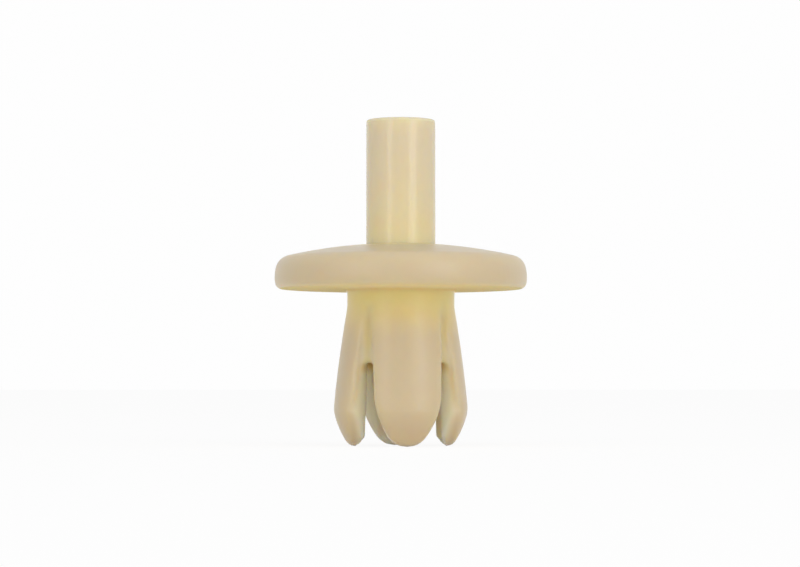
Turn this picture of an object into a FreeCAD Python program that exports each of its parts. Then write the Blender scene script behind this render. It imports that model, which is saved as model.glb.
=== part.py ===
"""Plastic drive rivet: a domed clip with four flared legs, and the drive pin that locks it.

Millimetres. The rivet stands on its four toes, with +Z along its axis towards the pin.
The legs point along +X, +Y, -X and -Y. A thin web closes the tops of the slots between them.
"""
import FreeCAD, Part
import math
import os
import Sketcher

Vector = FreeCAD.Vector

doc = FreeCAD.newDocument("DriveRivet")

# Driving dimensions

SIZES = [
    ("HeadDiameter", 20.0, "widest line of the round head"),
    ("CrownHeight", 3.63, "top of the dome above the underside of the head"),
    ("DomeRadius", 41.0, "shallow dome of the head"),
    ("PartingHeight", 0.95, "widest line of the head above its underside"),
    ("RimBulge", 3.1, "radius of the rim's rounded side"),
    ("RimRounding", 1.2, "rounding between dome and rim"),
    ("BrimRounding", 0.5, "rounding between rim and underside"),
    ("ShankDiameter", 8.5, "collar, made for a panel hole of the same size"),
    ("CollarHeight", 1.25, "closed ring under the head, above the slots"),
    ("CollarRounding", 0.15, "rounding between collar and underside"),
    ("LegLength", 11.15, "toes to the foot of the collar"),
    ("LegRoot", 0.6, "how far each leg's blank runs up inside the collar"),
    ("RootInset", 0.06, "collar's foot stands out past the legs, outside"),
    ("RootStep", 0.12, "legs stand back from the mouth of the core, inside"),
    ("FlareAngle", 7.85, "lean of each leg away from the axis, in degrees"),
    ("FlareBow", 97.0, "radius of a leg's slightly bowed outer line"),
    ("SlotWidth", 0.5, "slot between two legs at the collar"),
    ("BulgeHeight", 2.8, "widest place of the legs above the toes, where the nose begins"),
    ("NoseRadius", 7.5, "nose of a leg seen from its side"),
    ("ToeRadius", 0.8, "small round at the end of the nose"),
    ("ToeReach", 3.45, "toe's inner edge from the axis"),
    ("SoleWidth", 0.2, "flat that each toe stands on"),
    ("CoreDiameter", 6.0, "mouth of the core at the foot of the collar"),
    ("WebInset", 0.2, "thin moulded web in the tops of the slots, this far inside the collar"),
    ("WebSpread", 0.25, "web's lower edge stands out past its top, as the legs flare"),
    ("WebThickness", 0.4, "wall of the web"),
    ("WebDrop", 4.85, "web's lower edge below the foot of the collar"),
    ("ArchHeight", 4.45, "springing of the arch that closes the sides of a leg in"),
    ("ArchStand", 0.09, "arch springs this far outside the leg's sides"),
    ("ArchRadius", 8.0, "pointed arch of a leg seen from its front"),
    ("ArchTipRadius", 1.8, "blunt tip of that arch"),
    ("PinDiameter", 5.5, "smooth drive pin"),
    ("PinClearance", 0.05, "gap between pin and bore, each side"),
    ("ThroatHeight", 0.9, "cone from the bore out to the space between the legs"),
    ("PinProud", 9.83, "pin's top above the crown before it is driven"),
    ("PinSeat", 2.1, "pin's foot below the crown before it is driven"),
    ("PinTopRounding", 0.1, "edge of the pin's top"),
    ("PinLead", 0.4, "chamfer round the pin's foot"),
]

sheet = doc.addObject("Spreadsheet::Sheet", "Sizes")
for row, (alias, value, meaning) in enumerate(SIZES, start=1):
    sheet.set(f"A{row}", meaning)
    sheet.set(f"B{row}", str(value))
    sheet.setAlias(f"B{row}", alias)
doc.recompute()


def size(alias):
    """Value of one driving dimension."""
    return float(sheet.get(alias))


# Heights and radii that several pieces share, written with the sheet's names
SHANK_RADIUS = "Sizes.ShankDiameter / 2"
LEG_RADIUS = "(Sizes.ShankDiameter / 2 - Sizes.RootInset)"
BORE_RADIUS = "(Sizes.PinDiameter / 2 + Sizes.PinClearance)"
CORE_RADIUS = "Sizes.CoreDiameter / 2"
WEB_RADIUS = "(Sizes.ShankDiameter / 2 - Sizes.WebInset)"
UNDERSIDE = "(Sizes.LegLength + Sizes.CollarHeight)"
CROWN = "(Sizes.LegLength + Sizes.CollarHeight + Sizes.CrownHeight)"
ROOT_TOP = "(Sizes.LegLength + Sizes.LegRoot)"
FLARE = "(Sizes.FlareAngle * 1 deg)"
LEG_HALF_ANGLE = f"(45 deg - asin(Sizes.SlotWidth / 2 / {LEG_RADIUS}))"

START, END, CENTRE = range(1, 4)
VERTICAL_AXIS, HORIZONTAL_AXIS = range(-2, 0)
ORIGIN = (HORIZONTAL_AXIS, START)


# Helpers for bodies and sketches

def new_body(label):
    body = doc.addObject("PartDesign::Body", label)
    body.Label = label
    return body


def origin_feature(body, role):
    return next(item for item in body.Origin.OriginFeatures if item.Role == role)


def new_sketch(body, name, role):
    sketch = body.newObject("Sketcher::SketchObject", name)
    sketch.AttachmentSupport = [(origin_feature(body, role), "")]
    sketch.MapMode = "FlatFace"
    return sketch


def line(sketch, start, end, construction=False):
    segment = Part.LineSegment(Vector(*start, 0), Vector(*end, 0))
    return sketch.addGeometry(segment, construction)


def arc(sketch, centre, radius, first_degrees, last_degrees):
    """Arc drawn anticlockwise from the first angle to the last."""
    circle = Part.Circle(Vector(*centre, 0), Vector(0, 0, 1), radius)
    first, last = math.radians(first_degrees), math.radians(last_degrees)
    return sketch.addGeometry(Part.ArcOfCircle(circle, first, last), False)


def join(sketch, *ends):
    """Joins the ends in pairs: first with second, third with fourth, and so on."""
    for one, other in zip(ends[::2], ends[1::2]):
        sketch.addConstraint(Sketcher.Constraint("Coincident", *one, *other))


def blend(sketch, *ends):
    """Joins the ends in pairs so that each pair runs on without a corner."""
    for one, other in zip(ends[::2], ends[1::2]):
        sketch.addConstraint(Sketcher.Constraint("Tangent", *one, *other))


def bind(sketch, name, expression, kind, *where):
    """Adds a dimension to the sketch and ties it to the sheet."""
    measured = sketch.evalExpression(expression)
    value = measured.Value if hasattr(measured, "Value") else float(measured)
    if kind == "Angle":
        value = math.radians(value)
    index = sketch.addConstraint(Sketcher.Constraint(kind, *where, value))
    sketch.renameConstraint(index, name)
    sketch.setExpression(f"Constraints.{name}", expression)


def place(sketch, name, point, across, up):
    """Ties a point's two coordinates to the sheet."""
    bind(sketch, f"{name}Across", across, "DistanceX", *ORIGIN, *point)
    bind(sketch, f"{name}Up", up, "DistanceY", *ORIGIN, *point)


def edge_names(feature, wanted):
    """Names of the feature's edges for which wanted(edge) holds."""
    edges = enumerate(feature.Shape.Edges, start=1)
    return [f"Edge{number}" for number, edge in edges if wanted(edge)]


def round_edges(body, name, feature, wanted, radius_alias):
    doc.recompute()
    fillet = body.newObject("PartDesign::Fillet", name)
    fillet.Base = (feature, edge_names(feature, wanted))
    fillet.setExpression("Radius", f"Sizes.{radius_alias}")
    return fillet


# Clip body: one leg first, then its three copies, then head, collar and web

def leg_side_sketch(body):
    """One leg seen from its side, with the leaning line that its faces turn about."""
    top = size("LegLength") + size("LegRoot")
    shank, core = size("ShankDiameter") / 2, size("CoreDiameter") / 2
    flare_angle, bow = math.radians(size("FlareAngle")), size("FlareBow")
    lean = math.tan(flare_angle)
    bulge = (shank + lean * (size("LegLength") - size("BulgeHeight")), size("BulgeHeight"))
    toe = (size("ToeReach") + size("SoleWidth"), size("ToeRadius"))
    nose_radius, nose_start = size("NoseRadius"), math.radians(-15)
    nose_centre = (bulge[0] - nose_radius * math.cos(nose_start),
                   bulge[1] - nose_radius * math.sin(nose_start))
    middle = ((shank + bulge[0]) / 2, (top + bulge[1]) / 2)
    bow_centre = (middle[0] - bow * math.cos(flare_angle),
                  middle[1] - bow * math.sin(flare_angle))

    sketch = new_sketch(body, "LegSide", "XZ_Plane")
    flare = arc(sketch, bow_centre, bow, 5, 10)
    nose = arc(sketch, nose_centre, nose_radius, -45, -15)
    toe_round = arc(sketch, toe, size("ToeRadius"), -90, -45)
    sole = line(sketch, (toe[0], 0), (size("ToeReach"), 0))
    inner = line(sketch, (size("ToeReach"), 0), (core, top))
    root = line(sketch, (core, top), (shank, top))
    axis = line(sketch, (0, top), (lean * top, 0), construction=True)

    join(sketch, (flare, START), (nose, END), (toe_round, START), (sole, START),
         (sole, END), (inner, START), (inner, END), (root, START),
         (root, END), (flare, END))
    blend(sketch, (nose, START), (toe_round, END))
    across_root = f"{LEG_RADIUS} - Sizes.LegRoot * tan({FLARE})"
    place(sketch, "RootOuter", (flare, END), across_root, ROOT_TOP)
    place(sketch, "RootInner", (inner, END), f"{CORE_RADIUS} + Sizes.RootStep", ROOT_TOP)
    bind(sketch, "Lean", f"-90 deg + {FLARE}", "Angle", axis)
    bind(sketch, "AxisTop", ROOT_TOP, "DistanceY", *ORIGIN, axis, START)
    sketch.addConstraint(Sketcher.Constraint("PointOnObject", axis, END, HORIZONTAL_AXIS))
    bind(sketch, "AxisToRoot", LEG_RADIUS, "Distance", flare, END, axis)
    bind(sketch, "AxisToBulge", LEG_RADIUS, "Distance", flare, START, axis)
    bind(sketch, "BulgeUp", "Sizes.BulgeHeight", "DistanceY", *ORIGIN, flare, START)
    bind(sketch, "Bow", "Sizes.FlareBow", "Radius", flare)
    bind(sketch, "Nose", "Sizes.NoseRadius", "Radius", nose)
    bind(sketch, "Toe", "Sizes.ToeRadius", "Radius", toe_round)
    place(sketch, "ToeCentre", (toe_round, CENTRE),
          "Sizes.ToeReach + Sizes.SoleWidth", "Sizes.ToeRadius")
    bind(sketch, "ToeReach", "Sizes.ToeReach", "DistanceX", *ORIGIN, sole, END)
    sketch.addConstraint(Sketcher.Constraint("Horizontal", sole))
    sketch.addConstraint(Sketcher.Constraint("Vertical", toe_round, CENTRE, toe_round, START))
    return sketch


def leg_front_sketch(body):
    """What is cut away on both sides of a leg's pointed arch, seen from its front."""
    height, radius, tip = size("ArchHeight"), size("ArchRadius"), size("ArchTipRadius")
    wide = size("ShankDiameter") / 2
    half = wide * math.sin(math.radians(45))
    sketch = new_sketch(body, "LegFront", "YZ_Plane")
    right = arc(sketch, (half - radius, height), radius, -30, 0)
    left = arc(sketch, (radius - half, height), radius, 180, 210)
    blunt = arc(sketch, (0, tip), tip, 210, 330)
    right_top = line(sketch, (half, height), (wide, height))
    right_side = line(sketch, (wide, height), (wide, -tip))
    base = line(sketch, (wide, -tip), (-wide, -tip))
    left_side = line(sketch, (-wide, -tip), (-wide, height))
    left_top = line(sketch, (-wide, height), (-half, height))

    join(sketch, (right, END), (right_top, START), (right_top, END), (right_side, START),
         (right_side, END), (base, START), (base, END), (left_side, START),
         (left_side, END), (left_top, START), (left_top, END), (left, START))
    blend(sketch, (left, END), (blunt, START), (blunt, END), (right, START))
    sketch.addConstraint(Sketcher.Constraint("Horizontal", right_top))
    sketch.addConstraint(Sketcher.Constraint("Horizontal", left_top))
    sketch.addConstraint(Sketcher.Constraint("Horizontal", base))
    sketch.addConstraint(Sketcher.Constraint("Vertical", right_side))
    sketch.addConstraint(Sketcher.Constraint("Vertical", left_side))
    sketch.addConstraint(Sketcher.Constraint("Equal", left, right))
    sketch.addConstraint(Sketcher.Constraint("PointOnObject", blunt, CENTRE, VERTICAL_AXIS))
    half_width = f"({LEG_RADIUS} * sin{LEG_HALF_ANGLE} + Sizes.ArchStand)"
    place(sketch, "SpringRight", (right, END), half_width, "Sizes.ArchHeight")
    place(sketch, "SpringLeft", (left, START), f"-{half_width}", "Sizes.ArchHeight")
    bind(sketch, "Arch", "Sizes.ArchRadius", "Radius", right)
    bind(sketch, "Blunt", "Sizes.ArchTipRadius", "Radius", blunt)
    bind(sketch, "BluntUp", "Sizes.ArchTipRadius", "DistanceY", *ORIGIN, blunt, CENTRE)
    place(sketch, "CornerRight", (right_side, END), SHANK_RADIUS, "-Sizes.ArchTipRadius")
    bind(sketch, "CornerLeft", f"-{SHANK_RADIUS}", "DistanceX", *ORIGIN, left_side, START)
    return sketch


def head_sketch(body):
    """Half section of head, collar and web, with the bore for the pin."""
    underside = size("LegLength") + size("CollarHeight")
    crown = underside + size("CrownHeight")
    shank, rim = size("ShankDiameter") / 2, size("HeadDiameter") / 2
    bore, core = size("PinDiameter") / 2 + size("PinClearance"), size("CoreDiameter") / 2
    foot, throat = size("LegLength"), size("LegLength") + size("ThroatHeight")
    web, web_low = shank - size("WebInset"), shank - size("WebInset") + size("WebSpread")
    wall, web_foot = size("WebThickness"), size("LegLength") - size("WebDrop")
    soft, edge, shoulder = size("CollarRounding"), size("BrimRounding"), size("RimRounding")
    bulge, parting = size("RimBulge"), underside + size("PartingHeight")
    low, high = math.radians(-10), math.radians(16)
    edge_centre = (rim - bulge + (bulge - edge) * math.cos(low), underside + edge)
    shoulder_centre = (rim - bulge + (bulge - shoulder) * math.cos(high),
                       parting + (bulge - shoulder) * math.sin(high))

    sketch = new_sketch(body, "HeadSection", "XZ_Plane")
    corner = arc(sketch, (shank + soft, underside - soft), soft, 90, 180)
    brim = line(sketch, (shank + soft, underside), (edge_centre[0], underside))
    brim_edge = arc(sketch, edge_centre, edge, -90, -10)
    side = arc(sketch, (rim - bulge, parting), bulge, -10, 16)
    rim_edge = arc(sketch, shoulder_centre, shoulder, 16, 77)
    dome = arc(sketch, (0, crown - size("DomeRadius")), size("DomeRadius"), 77, 86)
    bore_wall = line(sketch, (bore, crown), (bore, throat))
    cone = line(sketch, (bore, throat), (core, foot))
    ring = line(sketch, (core, foot), (web - wall, foot))
    web_back = line(sketch, (web - wall, foot), (web_low - wall, web_foot))
    web_edge = line(sketch, (web_low - wall, web_foot), (web_low, web_foot))
    web_front = line(sketch, (web_low, web_foot), (web, foot))
    ledge = line(sketch, (web, foot), (shank, foot))
    collar = line(sketch, (shank, foot), (shank, underside - soft))

    join(sketch, (dome, END), (bore_wall, START), (bore_wall, END), (cone, START),
         (cone, END), (ring, START), (ring, END), (web_back, START),
         (web_back, END), (web_edge, START), (web_edge, END), (web_front, START),
         (web_front, END), (ledge, START), (ledge, END), (collar, START))
    blend(sketch, (collar, END), (corner, END), (corner, START), (brim, START),
          (brim, END), (brim_edge, START), (brim_edge, END), (side, START),
          (side, END), (rim_edge, START), (rim_edge, END), (dome, START))
    for level in (brim, ring, web_edge, ledge):
        sketch.addConstraint(Sketcher.Constraint("Horizontal", level))
    for upright in (bore_wall, collar):
        sketch.addConstraint(Sketcher.Constraint("Vertical", upright))
    place(sketch, "Collar", (collar, START), SHANK_RADIUS, "Sizes.LegLength")
    bind(sketch, "Web", WEB_RADIUS, "DistanceX", *ORIGIN, ledge, START)
    place(sketch, "WebFoot", (web_edge, END), f"{WEB_RADIUS} + Sizes.WebSpread",
          "Sizes.LegLength - Sizes.WebDrop")
    bind(sketch, "WebWall", "Sizes.WebThickness", "DistanceX", ring, END, ledge, START)
    bind(sketch, "WebFootWall", "Sizes.WebThickness", "DistanceX",
         web_edge, START, web_edge, END)
    bind(sketch, "Underside", UNDERSIDE, "DistanceY", *ORIGIN, brim, START)
    place(sketch, "BulgeCentre", (side, CENTRE), "Sizes.HeadDiameter / 2 - Sizes.RimBulge",
          f"{UNDERSIDE} + Sizes.PartingHeight")
    for name, curve, alias in (("CollarRound", corner, "CollarRounding"),
                               ("BrimRound", brim_edge, "BrimRounding"),
                               ("Bulge", side, "RimBulge"),
                               ("RimRound", rim_edge, "RimRounding"),
                               ("Dome", dome, "DomeRadius")):
        bind(sketch, name, f"Sizes.{alias}", "Radius", curve)
    sketch.addConstraint(Sketcher.Constraint("PointOnObject", dome, CENTRE, VERTICAL_AXIS))
    bind(sketch, "DomeCentreUp", f"{CROWN} - Sizes.DomeRadius", "DistanceY",
         *ORIGIN, dome, CENTRE)
    place(sketch, "Throat", (cone, START), BORE_RADIUS, "Sizes.LegLength + Sizes.ThroatHeight")
    place(sketch, "CoreMouth", (cone, END), CORE_RADIUS, "Sizes.LegLength")
    return sketch


def make_clip():
    body = new_body("clip_body")
    side = leg_side_sketch(body)
    blank = body.newObject("PartDesign::Revolution", "LegBlank")
    blank.Profile = side
    blank.ReferenceAxis = (side, ["Axis0"])
    blank.Midplane = True
    blank.setExpression("Angle", f"2 * {LEG_HALF_ANGLE}")
    doc.recompute()
    blank_volume = blank.Shape.Volume

    front = leg_front_sketch(body)
    arch = body.newObject("PartDesign::Pocket", "LegArch")
    arch.Profile = front
    arch.Type = "ThroughAll"
    arch.Reversed = True
    doc.recompute()
    if not arch.Shape.Volume < blank_volume:
        raise RuntimeError("the arch cut nothing from the leg")

    legs = body.newObject("PartDesign::PolarPattern", "FourLegs")
    legs.TransformMode = "Whole shape"
    legs.Axis = (origin_feature(body, "Z_Axis"), [""])
    legs.Angle = 360
    legs.Occurrences = 4
    body.Tip = legs
    doc.recompute()

    head = body.newObject("PartDesign::Revolution", "HeadAndCollar")
    head.Profile = head_sketch(body)
    head.ReferenceAxis = (head.Profile[0], ["V_Axis"])
    head.Angle = 360
    doc.recompute()
    return body


# Drive pin: a plain round pin, its foot chamfered to lead into the bore

def make_pin():
    body = new_body("drive_pin")
    outline = new_sketch(body, "PinSection", "XY_Plane")
    circle = Part.Circle(Vector(0, 0, 0), Vector(0, 0, 1), size("PinDiameter") / 2)
    ring = outline.addGeometry(circle, False)
    outline.addConstraint(Sketcher.Constraint("Coincident", ring, CENTRE, *ORIGIN))
    bind(outline, "PinAcross", "Sizes.PinDiameter / 2", "Radius", ring)
    pad = body.newObject("PartDesign::Pad", "PinBar")
    pad.Profile = outline
    pad.setExpression("Length", "Sizes.PinProud + Sizes.PinSeat")
    doc.recompute()

    top = pad.Shape.BoundBox.ZMax
    rounded = round_edges(body, "PinTop", pad, lambda edge: edge.BoundBox.ZMin > top / 2,
                          "PinTopRounding")
    doc.recompute()
    lead = body.newObject("PartDesign::Chamfer", "PinFoot")
    lead.Base = (rounded, edge_names(rounded, lambda edge: edge.BoundBox.ZMax < top / 2))
    lead.setExpression("Size", "Sizes.PinLead")
    body.setExpression("Placement.Base.z", f"{CROWN} - Sizes.PinSeat")
    doc.recompute()
    return body


def check_and_export(bodies):
    for item in doc.Objects:
        if "Invalid" in item.State or "Error" in item.State:
            raise RuntimeError(f"{item.Label} did not build: {item.State}")
    for body in bodies:
        if body.Shape.isNull() or not body.Shape.isValid() or len(body.Shape.Solids) != 1:
            raise RuntimeError(f"{body.Label} is not one valid solid")
    os.makedirs("parts", exist_ok=True)
    for body in bodies:
        body.Shape.exportStep(f"parts/{body.Label}.step")


pieces = [make_clip(), make_pin()]
doc.recompute()
check_and_export(pieces)
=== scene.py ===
# %% [markdown]
# # A plastic drive rivet in natural nylon
# The rivet holds a panel: its four legs go through a hole, and the pin is pushed in between them
# so that they can't close again. Both pieces are moulded in uncoloured nylon, which is creamy,
# slightly see-through and satin. The shapes come from the CAD model. This file gives them their
# softness, their finish, a floor, lamps and a camera.

# %% Load the two pieces
import math

import bpy
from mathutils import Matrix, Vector


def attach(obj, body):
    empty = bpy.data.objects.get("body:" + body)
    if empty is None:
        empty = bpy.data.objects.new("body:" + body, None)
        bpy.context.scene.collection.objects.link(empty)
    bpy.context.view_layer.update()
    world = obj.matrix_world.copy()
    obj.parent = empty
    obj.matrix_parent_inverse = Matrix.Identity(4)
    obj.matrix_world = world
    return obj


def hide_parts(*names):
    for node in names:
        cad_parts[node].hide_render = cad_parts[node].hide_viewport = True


bpy.context.scene.view_settings.view_transform = "Standard"
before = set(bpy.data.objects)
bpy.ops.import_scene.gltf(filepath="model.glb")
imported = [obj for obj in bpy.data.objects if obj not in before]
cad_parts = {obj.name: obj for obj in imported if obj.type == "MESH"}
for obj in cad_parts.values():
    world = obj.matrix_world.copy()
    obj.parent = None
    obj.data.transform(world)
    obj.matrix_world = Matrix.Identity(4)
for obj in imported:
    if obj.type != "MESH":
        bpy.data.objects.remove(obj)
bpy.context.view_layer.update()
clip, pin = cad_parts["clip_body"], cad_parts["drive_pin"]
MM = 0.001

# %% [markdown]
# ## Wiring materials
# A procedural material is a small network: patterns are computed from a point's place on the
# object and then mixed into colour, gloss and relief. The few helpers below keep each network
# readable, so that what follows is about nylon and not about bookkeeping.

# %% Helpers for nodes
def add(tree, kind, settings=None, **inputs):
    """Adds a node, sets its properties, then fills its inputs with values or links."""
    made = tree.nodes.new(kind)
    for name, value in (settings or {}).items():
        setattr(made, name, value)
    for name, value in inputs.items():
        fill(tree, made.inputs[name.replace("_", " ")], value)
    return made


def fill(tree, socket, value):
    if isinstance(value, bpy.types.NodeSocket):
        tree.links.new(value, socket)
    else:
        socket.default_value = value


def calculate(tree, operation, *values):
    """A maths node with its inputs in order."""
    made = add(tree, "ShaderNodeMath", {"operation": operation})
    for socket, value in zip(made.inputs, values):
        fill(tree, socket, value)
    return made.outputs[0]


def fade(tree, value, start, end, low=0.0, high=1.0):
    """Goes smoothly from low to high while the value goes from start to end."""
    made = add(tree, "ShaderNodeMapRange", {"interpolation_type": "SMOOTHSTEP"},
               Value=value, From_Min=start, From_Max=end, To_Min=low, To_Max=high)
    return made.outputs["Result"]


def tint(tree, amount, base, over):
    """Lays one colour over another by an amount from 0 to 1."""
    made = add(tree, "ShaderNodeMix", {"data_type": "RGBA"})
    fill(tree, made.inputs["Factor"], amount)
    fill(tree, made.inputs["A"], base)
    fill(tree, made.inputs["B"], over)
    return made.outputs["Result"]


def nylon_colour(red, green, blue):
    """A colour picked on screen, 0 to 255, as the linear value that shaders work with."""
    linear = [((v / 255 + 0.055) / 1.055) ** 2.4 for v in (red, green, blue)]
    return (*linear, 1.0)


# %% Start a shared effect
def new_effect(name, inputs, outputs):
    """An empty node group with named number inputs and named outputs."""
    group = bpy.data.node_groups.new(name, "ShaderNodeTree")
    for label, kind, default in inputs:
        socket = group.interface.new_socket(label, in_out="INPUT", socket_type=kind)
        socket.default_value = default
    for label, kind in outputs:
        group.interface.new_socket(label, in_out="OUTPUT", socket_type=kind)
    return group, group.nodes.new("NodeGroupInput"), group.nodes.new("NodeGroupOutput")


# %% [markdown]
# ## Clouds in the nylon
# Natural nylon is never quite one colour. It cools unevenly in the mould, so it has faint warm
# and cool clouds a millimetre or two across. Two soft noises of different size do this: one
# leans the colour towards pink, the other towards green, each by a few percent.

# %% Clouds as a shared effect
clouds, clouds_in, clouds_out = new_effect(
    "Nylon clouds",
    [("Colour", "NodeSocketColor", (0.8, 0.7, 0.5, 1.0)), ("Strength", "NodeSocketFloat", 1.0)],
    [("Colour", "NodeSocketColor")])
place = add(clouds, "ShaderNodeTexCoord").outputs["Object"]
coloured = clouds_in.outputs["Colour"]
for size_mm, seed, lean in ((1.5, 0.0, (1.0, 0.86, 0.84, 1.0)), (1.1, 7.0, (0.9, 1.0, 0.88, 1.0))):
    shifted = add(clouds, "ShaderNodeVectorMath", {"operation": "ADD"})
    fill(clouds, shifted.inputs[0], place)
    fill(clouds, shifted.inputs[1], (seed, seed, seed))
    noise = add(clouds, "ShaderNodeTexNoise", Vector=shifted.outputs[0],
                Scale=1 / (size_mm * MM), Detail=3.0, Roughness=0.6)
    patch = fade(clouds, noise.outputs["Fac"], 0.45, 0.75)
    amount = calculate(clouds, "MULTIPLY", patch, clouds_in.outputs["Strength"])
    tinted = add(clouds, "ShaderNodeMix", {"data_type": "RGBA", "blend_type": "MULTIPLY"})
    fill(clouds, tinted.inputs["Factor"], calculate(clouds, "MULTIPLY", amount, 0.35))
    fill(clouds, tinted.inputs["A"], coloured)
    fill(clouds, tinted.inputs["B"], lean)
    coloured = tinted.outputs["Result"]
fill(clouds, clouds_out.inputs["Colour"], coloured)
print("clouds:", len(clouds.nodes), "nodes")

# %% [markdown]
# ## Satin from the mould
# Moulds for such parts are often spark-eroded, which leaves a fine orange-peel of tiny facets on
# the plastic. It glitters faintly where a lamp is reflected. The effect gives a height for the
# Bump node and a roughness that goes with it, so dull and shiny spots lie where the relief is.

# %% Mould grain as a shared effect
grain, grain_in, grain_out = new_effect(
    "Mould grain",
    [("Grain Size", "NodeSocketFloat", 0.00012), ("Roughness", "NodeSocketFloat", 0.4),
     ("Variation", "NodeSocketFloat", 0.1)],
    [("Height", "NodeSocketFloat"), ("Roughness", "NodeSocketFloat")])
place = add(grain, "ShaderNodeTexCoord").outputs["Object"]
fineness = calculate(grain, "DIVIDE", 1.0, grain_in.outputs["Grain Size"])
facets = add(grain, "ShaderNodeTexNoise", Vector=place, Scale=fineness, Detail=2.0, Roughness=0.55)
waves = add(grain, "ShaderNodeTexNoise", Vector=place, Scale=1 / (0.9 * MM), Detail=1.0)
height = calculate(grain, "ADD", facets.outputs["Fac"],
                   calculate(grain, "MULTIPLY", waves.outputs["Fac"], 1.5))
uneven = calculate(grain, "SUBTRACT", facets.outputs["Fac"], 0.5)
spread = calculate(grain, "MULTIPLY", uneven, grain_in.outputs["Variation"])
rough = calculate(grain, "ADD", grain_in.outputs["Roughness"], spread)
fill(grain, grain_out.inputs["Height"], height)
fill(grain, grain_out.inputs["Roughness"], rough)
print("grain:", len(grain.nodes), "nodes")

# %% [markdown]
# ## Painted amber
# Light that enters nylon comes out yellower the further it has travelled, and what is tucked away
# lies in shade. This light and shade are painted into the colour: the plastic is painted amber where
# it is thick or tucked away, as at the collar and at the pin's foot. The effect gives such a place
# as a mask: full between two heights and up to a radius, and soft beyond.

# %% Mask for painted amber shade and light, as a shared effect
amber, amber_in, amber_out = new_effect(
    "Place mask",
    [("Below Start", "NodeSocketFloat", 0.0), ("Below End", "NodeSocketFloat", 0.001),
     ("Above Start", "NodeSocketFloat", 0.01), ("Above End", "NodeSocketFloat", 0.011),
     ("Radius", "NodeSocketFloat", 0.0045), ("Soft Edge", "NodeSocketFloat", 0.0015)],
    [("Mask", "NodeSocketFloat")])
place = add(amber, "ShaderNodeTexCoord").outputs["Object"]
part = add(amber, "ShaderNodeSeparateXYZ", Vector=place).outputs
flat = add(amber, "ShaderNodeCombineXYZ", X=part["X"], Y=part["Y"])
away = add(amber, "ShaderNodeVectorMath", {"operation": "LENGTH"})
fill(amber, away.inputs[0], flat.outputs[0])
rises = fade(amber, part["Z"], amber_in.outputs["Below Start"], amber_in.outputs["Below End"])
falls = fade(amber, part["Z"], amber_in.outputs["Above Start"], amber_in.outputs["Above End"],
             1.0, 0.0)
outside = calculate(amber, "ADD", amber_in.outputs["Radius"], amber_in.outputs["Soft Edge"])
near = fade(amber, away.outputs["Value"], amber_in.outputs["Radius"], outside, 1.0, 0.0)
between = calculate(amber, "MULTIPLY", rises, falls)
fill(amber, amber_out.inputs["Mask"], calculate(amber, "MULTIPLY", between, near))
print("amber:", len(amber.nodes), "nodes")


# %% [markdown]
# ## Painted light on the flanks
# The side faces of the legs are cut faces: light runs in through the outer skin and comes out there.
# So their colour is painted pale, as painted light, and they look lit instead of lying in shade.
# Each leg is part of a cylinder that leans outwards. The distance from that leaning axis tells the
# outer skin from all that lies inside it. Below the bulge the nose comes in, so there the skin is
# taken to lie nearer to the axis.

# %% Painted light on the leg flanks, as a shared effect
flanks, flanks_in, flanks_out = new_effect(
    "Painted flank light",
    [("Lean", "NodeSocketFloat", 0.138), ("Root Height", "NodeSocketFloat", 0.01115),
     ("Skin", "NodeSocketFloat", 0.0042), ("Soft Edge", "NodeSocketFloat", 0.0008),
     ("Bulge Height", "NodeSocketFloat", 0.0028), ("Nose Slope", "NodeSocketFloat", 0.62)],
    [("Mask", "NodeSocketFloat")])
place = add(flanks, "ShaderNodeTexCoord").outputs["Object"]
part = add(flanks, "ShaderNodeSeparateXYZ", Vector=place).outputs
wide = calculate(flanks, "ABSOLUTE", part["X"])
deep = calculate(flanks, "ABSOLUTE", part["Y"])
along = calculate(flanks, "MAXIMUM", wide, deep)
across = calculate(flanks, "MINIMUM", wide, deep)
drop = calculate(flanks, "SUBTRACT", flanks_in.outputs["Root Height"], part["Z"])
axis = calculate(flanks, "MULTIPLY", drop, flanks_in.outputs["Lean"])
offset = add(flanks, "ShaderNodeCombineXYZ", X=calculate(flanks, "SUBTRACT", along, axis), Y=across)
depth = add(flanks, "ShaderNodeVectorMath", {"operation": "LENGTH"})
fill(flanks, depth.inputs[0], offset.outputs[0])
low = calculate(flanks, "SUBTRACT", flanks_in.outputs["Bulge Height"], part["Z"])
nose = calculate(flanks, "MULTIPLY", calculate(flanks, "MAXIMUM", low, 0.0),
                 flanks_in.outputs["Nose Slope"])
skin = calculate(flanks, "SUBTRACT", flanks_in.outputs["Skin"], nose)
deeper = calculate(flanks, "SUBTRACT", skin, flanks_in.outputs["Soft Edge"])
inside = fade(flanks, depth.outputs["Value"], deeper, skin, 1.0, 0.0)
under_collar = fade(flanks, drop, -0.1 * MM, 1.0 * MM)
fill(flanks, flanks_out.inputs["Mask"], calculate(flanks, "MULTIPLY", inside, under_collar))
print("flanks:", len(flanks.nodes), "nodes")


# %% [markdown]
# ## The nylon itself
# One function builds the finish for both mouldings, because they are the same stock. Light
# scatters up to two millimetres deep, least in blue, and the surface has the gloss of plastic.
# A face that is seen at a flat angle would mirror the white surroundings, which the photograph
# doesn't show. So each finish has one place where it is fully matt.

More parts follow.
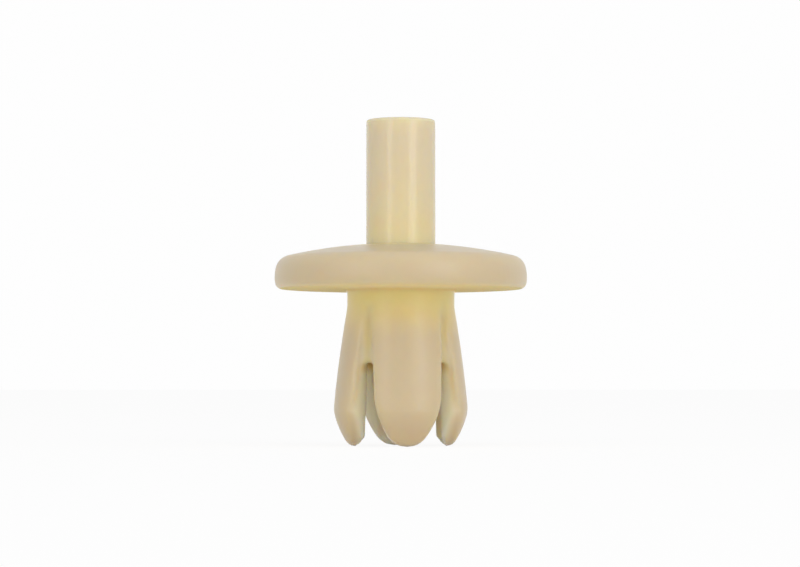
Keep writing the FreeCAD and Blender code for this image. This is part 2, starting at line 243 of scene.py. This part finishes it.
# %% Build a nylon finish
def nylon(name, base, tints, matt_place, roughness, relief):
    """A satin nylon, matt at one place. tints lists (effect, colour, place), laid on in order:
    mostly painted shade and painted light.
    """
    material = bpy.data.materials.new(name)
    material.use_nodes = True
    tree = material.node_tree
    shader = tree.nodes["Principled BSDF"]
    colour = base
    for effect, over, place in tints:
        patch = add(tree, "ShaderNodeGroup", {"node_tree": effect}, **place)
        colour = tint(tree, patch.outputs["Mask"], colour, over)
    cloudy = add(tree, "ShaderNodeGroup", {"node_tree": clouds}, Colour=colour, Strength=0.5)
    satin = add(tree, "ShaderNodeGroup", {"node_tree": grain}, Grain_Size=0.14 * MM,
                Roughness=roughness, Variation=0.06)
    bump = add(tree, "ShaderNodeBump", Strength=0.35, Distance=relief,
               Height=satin.outputs["Height"])
    fill(tree, shader.inputs["Base Color"], cloudy.outputs["Colour"])
    matt = add(tree, "ShaderNodeGroup", {"node_tree": amber}, **matt_place)
    rough = calculate(tree, "MAXIMUM", satin.outputs["Roughness"], matt.outputs["Mask"])
    fill(tree, shader.inputs["Roughness"], rough)
    fill(tree, shader.inputs["Normal"], bump.outputs["Normal"])
    shader.inputs["IOR"].default_value = 1.53
    shader.inputs["Subsurface Weight"].default_value = 1.0
    shader.inputs["Subsurface Radius"].default_value = (1.0, 0.8, 0.4)
    shader.inputs["Subsurface Scale"].default_value = 2.0 * MM
    return material


# %% [markdown]
# ## Places of painted shade and light, and of matt spots
# The rivet is described from the floor up. Each place has a pair of heights over which it fades
# in, a pair over which it fades out, a radius and the width of its soft edge.

# %% Name the places
FROM_THE_FLOOR, TO_THE_TOP = (-2.0, -1.0), (30.0, 31.0)


def zone(fade_in, fade_out, radius, soft_edge):
    """Limits for the amber effect, given in millimetres."""
    return dict(Below_Start=fade_in[0] * MM, Below_End=fade_in[1] * MM,
                Above_Start=fade_out[0] * MM, Above_End=fade_out[1] * MM,
                Radius=radius * MM, Soft_Edge=soft_edge * MM)


# Most of these places carry painted shade or painted light; UNDERSIDE and PIN_TOP also mark matt
# spots.
TOES = zone(FROM_THE_FLOOR, (0.0, 3.2), 6.0, 1.0)
SHADE_BETWEEN_LEGS = zone(FROM_THE_FLOOR, (9.0, 11.0), 3.0, 0.4)
WEB = zone((5.5, 6.5), (9.6, 10.8), 4.2, 0.2)
COLLAR = zone((8.0, 12.2), (12.6, 13.2), 4.4, 0.9)
UNDERSIDE = zone((12.1, 12.3), (12.4, 12.8), 9.2, 0.9)
PIN_REFLECTION_ROUND_THE_BORE = zone((15.0, 15.7), TO_THE_TOP, 2.8, 3.0)
PIN_FOOT_BOUNCE_LIGHT = zone(FROM_THE_FLOOR, (14.0, 24.0), 3.0, 1.0)
PIN_TOP = zone((25.55, 25.75), TO_THE_TOP, 3.0, 1.0)
print("the amber of the collar ends at", COLLAR["Above_End"] / MM, "mm")

# %% [markdown]
# ## Two finishes
# The clip is pinkish cream. A painted reflection of the yellow pin makes it yellower round the bore,
# and painted shade and scattered light make it amber at the collar and on the matt underside. The
# toes are a little darker and pinker, partly of their own tone and partly by painted shade. Painted
# light makes the flanks pale, painted shade makes the web golden and the inside olive. The pin is a
# touch more golden than the head, and painted light from the head makes it more golden still at its
# foot.

# %% Colour the clip and the pin
clip_nylon = nylon(
    "Clip nylon", nylon_colour(211, 194, 161),
    # Painted reflection: the yellow pin mirrored in the dome round the bore, also lifting the shade
    # where pin and dome meet.
    [(amber, nylon_colour(236, 216, 152), PIN_REFLECTION_ROUND_THE_BORE),
     # Painted shade and painted light: the collar is brighter and more amber, as if lit through the
     # plastic in the shade of the head.
     (amber, nylon_colour(246, 227, 160), COLLAR),
     # Painted shade: saturated amber on the underside of the head, which lies in shade.
     (amber, nylon_colour(250, 224, 158), UNDERSIDE),
     # Darker and pinker toes: partly the nylon's own tone, partly painted shade.
     (amber, nylon_colour(208, 188, 154), TOES),
     # Painted light: the leg flanks made pale, as if lit through the legs.
     (flanks, nylon_colour(251, 238, 214), {}),
     # Painted shade: the web below the collar made golden amber.
     (amber, nylon_colour(226, 204, 148), WEB),
     # Painted shade: dark olive deep between the legs, where little light reaches.
     (amber, nylon_colour(150, 135, 84), SHADE_BETWEEN_LEGS)],
    UNDERSIDE, roughness=0.34, relief=0.005 * MM)
pin_nylon = nylon(
    "Pin nylon", nylon_colour(224, 209, 176),
    # Painted light: the pin yellower towards its foot, as if lit by light thrown up from the head.
    [(amber, nylon_colour(231, 217, 171), PIN_FOOT_BOUNCE_LIGHT)],
    PIN_TOP, roughness=0.20, relief=0.002 * MM)
print("finishes:", clip_nylon.name, "and", pin_nylon.name)

# %% [markdown]
# ## Soft edges
# No moulding has the knife edges of a drawing: the steel of a mould is rounded by a tenth of a
# millimetre, and nylon shrinks away from it. A bevel stumbles where the legs' curved faces meet
# at shallow angles. So each piece is poured anew: a voxel remesh takes the solid as a fine block
# of cells, which welds legs, collar and head into one skin, and smoothing rounds what is sharp.
# The cells are about a tenth of a millimetre wide, which is a pixel or two of the picture.

# %% Smooth and stretch a skin
def keep(moulding):
    """Makes what the modifiers show into the object's own mesh."""
    bpy.context.view_layer.update()
    ready = moulding.evaluated_get(bpy.context.evaluated_depsgraph_get())
    skin = bpy.data.meshes.new_from_object(ready)
    moulding.modifiers.clear()
    moulding.data = skin


def ramp(value, start, end):
    """0 at the start, 1 at the end, straight in between and level outside."""
    return min(1.0, max(0.0, (value - start) / (end - start)))


def soften(moulding, rounds, weight=None):
    """Smooths the whole skin, or each place by its weight from 0 to 1."""
    smooth = moulding.modifiers.new("soften", "SMOOTH")
    smooth.factor, smooth.iterations = 0.5, rounds
    if weight:
        group = moulding.vertex_groups.new(name="soft")
        for vertex in moulding.data.vertices:
            group.add([vertex.index], weight(vertex.co), "REPLACE")
        smooth.vertex_group = group.name
    keep(moulding)


def stand_on_floor(moulding, height):
    """Stretches what lies below the height until its lowest point is back on the floor."""
    lowest = min(vertex.co.z for vertex in moulding.data.vertices)
    for vertex in moulding.data.vertices:
        vertex.co.z -= lowest * ramp(vertex.co.z, height, lowest)


# %% Pour a piece
def pour(name, solid, cell, rounds, body, finish):
    """A soft-edged copy of a CAD solid that stands for it and moves with its body."""
    moulding = bpy.data.objects.new(name, solid.data.copy())
    bpy.context.scene.collection.objects.link(moulding)
    cells = moulding.modifiers.new("cells", "REMESH")
    cells.mode, cells.voxel_size, cells.use_smooth_shade = "VOXEL", cell, True
    keep(moulding)
    soften(moulding, rounds)
    moulding.data.name = name
    moulding.data.materials.clear()
    moulding.data.materials.append(finish)
    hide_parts(solid.name)
    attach(moulding, body)
    return moulding


# %% [markdown]
# ## Softer legs
# The legs of the real rivet are rounder than its head, so they are smoothed more, and the lower
# edge of the web most of all. Smoothing eats thin ends. So the toes get less of it, and are then
# stretched by a few hundredths of a millimetre until they stand on the floor again.

# %% Where the clip is softer
def legs(at):
    """All below the collar, but less at the toes."""
    return ramp(at.z, 11.4 * MM, 10.6 * MM) * (0.4 + 0.6 * ramp(at.z, 0.8 * MM, 2.8 * MM))


def web_edge(at):
    """A band round the lower edge of the web, without the outer skin of the legs."""
    band = ramp(at.z, 8.5 * MM, 7.0 * MM) * ramp(at.z, 4.6 * MM, 5.6 * MM)
    return band * ramp(at.xy.length, 4.6 * MM, 4.4 * MM)


# %% Pour the two mouldings
clip_moulding = pour("clip_moulding", clip, 0.135 * MM, 10, "clip", clip_nylon)
soften(clip_moulding, 45, legs)
soften(clip_moulding, 90, web_edge)
stand_on_floor(clip_moulding, 3 * MM)
pin_moulding = pour("pin_moulding", pin, 0.09 * MM, 30, "pin", pin_nylon)
for moulding in (clip_moulding, pin_moulding):
    moulding.data.shade_smooth()
    print(moulding.name, "has", len(moulding.data.polygons), "faces")

# %% [markdown]
# ## Floor and background
# The rivet stands in front of plain white. A floor that is only lit white would need strong
# lamps. So floor and sky look white where they are seen, straight, mirrored or through the
# plastic, and give the object an ordinary light. The floor keeps a faint shadow under the toes.

# %% Start an empty network
def looked_at(owner):
    """Empties the network of a material or world. Gives it a value that is 1 where it is seen."""
    owner.use_nodes = True
    tree = owner.node_tree
    tree.nodes.clear()
    ray = add(tree, "ShaderNodeLightPath").outputs
    direct = calculate(tree, "MAXIMUM", ray["Is Camera Ray"], ray["Is Glossy Ray"])
    return tree, calculate(tree, "MAXIMUM", direct, ray["Is Transmission Ray"])


# %% Lay the floor
bpy.ops.mesh.primitive_plane_add(size=6.0)
floor = bpy.context.object
floor.name = "white_floor"
paper = bpy.data.materials.new("White paper")
tree, seen = looked_at(paper)
matt = add(tree, "ShaderNodeBsdfDiffuse", Color=(0.97, 0.97, 0.97, 1.0))
white = add(tree, "ShaderNodeEmission", Color=(1.0, 1.0, 1.0, 1.0), Strength=1.02)
blend = add(tree, "ShaderNodeMixShader")
fill(tree, blend.inputs[0], calculate(tree, "MULTIPLY", seen, 0.88))
fill(tree, blend.inputs[1], matt.outputs[0])
fill(tree, blend.inputs[2], white.outputs[0])
add(tree, "ShaderNodeOutputMaterial", Surface=blend.outputs[0])
floor.data.materials.append(paper)
print("floor:", [round(v, 1) for v in floor.dimensions.xy], "m")

# %% [markdown]
# ## Light all round
# A white tent round a small object lights it from everywhere, without edges. Here most of that
# light comes from the camera's side and little from behind. That keeps the gaps between the
# legs dark, as in the photograph.

# %% Make the sky white to look at and gentle as light
world = bpy.data.worlds.new("White studio")
bpy.context.scene.world = world
tree, seen = looked_at(world)
FRONT_LIGHT, BACK_LIGHT = 0.90, 0.25
direction = add(tree, "ShaderNodeTexCoord").outputs["Generated"]
backwards = add(tree, "ShaderNodeSeparateXYZ", Vector=direction).outputs["Y"]
gentle = fade(tree, backwards, -0.5, 0.6, FRONT_LIGHT, BACK_LIGHT)
level = add(tree, "ShaderNodeMix", {"data_type": "FLOAT"})
fill(tree, level.inputs["Factor"], seen)
fill(tree, level.inputs["A"], gentle)
fill(tree, level.inputs["B"], 0.99)
sky = add(tree, "ShaderNodeBackground", Color=(1.0, 1.0, 1.0, 1.0), Strength=level.outputs["Result"])
add(tree, "ShaderNodeOutputWorld", Surface=sky.outputs[0])
print("sky:", FRONT_LIGHT, "from the front and", BACK_LIGHT, "from behind")

# %% [markdown]
# ## Camera
# The photograph looks almost level at the rivet from 22 cm, a little above the toes, and turned
# about eight degrees from straight in front of one leg. A long lens keeps the pin's sides nearly
# parallel. The camera aims at a point on the axis, low in the head. Its lens is shifted by not
# quite a pixel, because the photograph is cropped a little off centre.

# %% Set the camera
TURN = math.radians(7.6)
DISTANCE = 221.7 * MM
EYE_HEIGHT, AIM_HEIGHT = 4.77 * MM, 12.85 * MM
to_camera = Vector((-math.sin(TURN), -math.cos(TURN), 0.0))
to_right = Vector((math.cos(TURN), -math.sin(TURN), 0.0))
lens = bpy.data.cameras.new("camera")
lens.sensor_width = 36.0
lens.lens = 126.0
lens.shift_x = -0.001
lens.clip_start, lens.clip_end = 0.01, 20.0
camera = bpy.data.objects.new("camera", lens)
bpy.context.scene.collection.objects.link(camera)
camera.location = to_camera * DISTANCE + Vector((0, 0, EYE_HEIGHT))
aim = Vector((0, 0, AIM_HEIGHT)) - camera.location
camera.rotation_euler = aim.to_track_quat("-Z", "Y").to_euler()
bpy.context.scene.camera = camera
print("camera looks up by", round(math.degrees(math.asin(aim.normalized().z)), 2), "degrees")


# %% [markdown]
# ## Lamps
# Two upright soft boxes make the two soft streaks on the pin: a bright one to the right and a
# weaker one to the left. A wide lamp from above does the rest. They are set at a level at which a
# colour shows about as it was mixed.

# %% Hang the lamps
def lamp(name, side_degrees, height, distance, size, watts):
    """An area lamp turned towards the head, so many degrees to the camera's right."""
    light = bpy.data.lights.new(name, "AREA")
    light.shape = "RECTANGLE"
    light.size, light.size_y = size
    light.energy = watts
    holder = bpy.data.objects.new(name, light)
    bpy.context.scene.collection.objects.link(holder)
    side = math.radians(side_degrees)
    level = to_camera * math.cos(side) + to_right * math.sin(side)
    holder.location = level * distance + Vector((0, 0, height))
    to_head = Vector((0, 0, AIM_HEIGHT)) - holder.location
    holder.rotation_euler = to_head.to_track_quat("-Z", "Y").to_euler()
    return holder


lamp("right_soft_box", 40, 60 * MM, 300 * MM, (150 * MM, 240 * MM), 0.20)
lamp("left_soft_box", -37, 60 * MM, 300 * MM, (95 * MM, 240 * MM), 0.11)
lamp("top_soft_box", 10, 400 * MM, 120 * MM, (350 * MM, 350 * MM), 0.05)
print("lamps:", [light.name for light in bpy.data.lights])
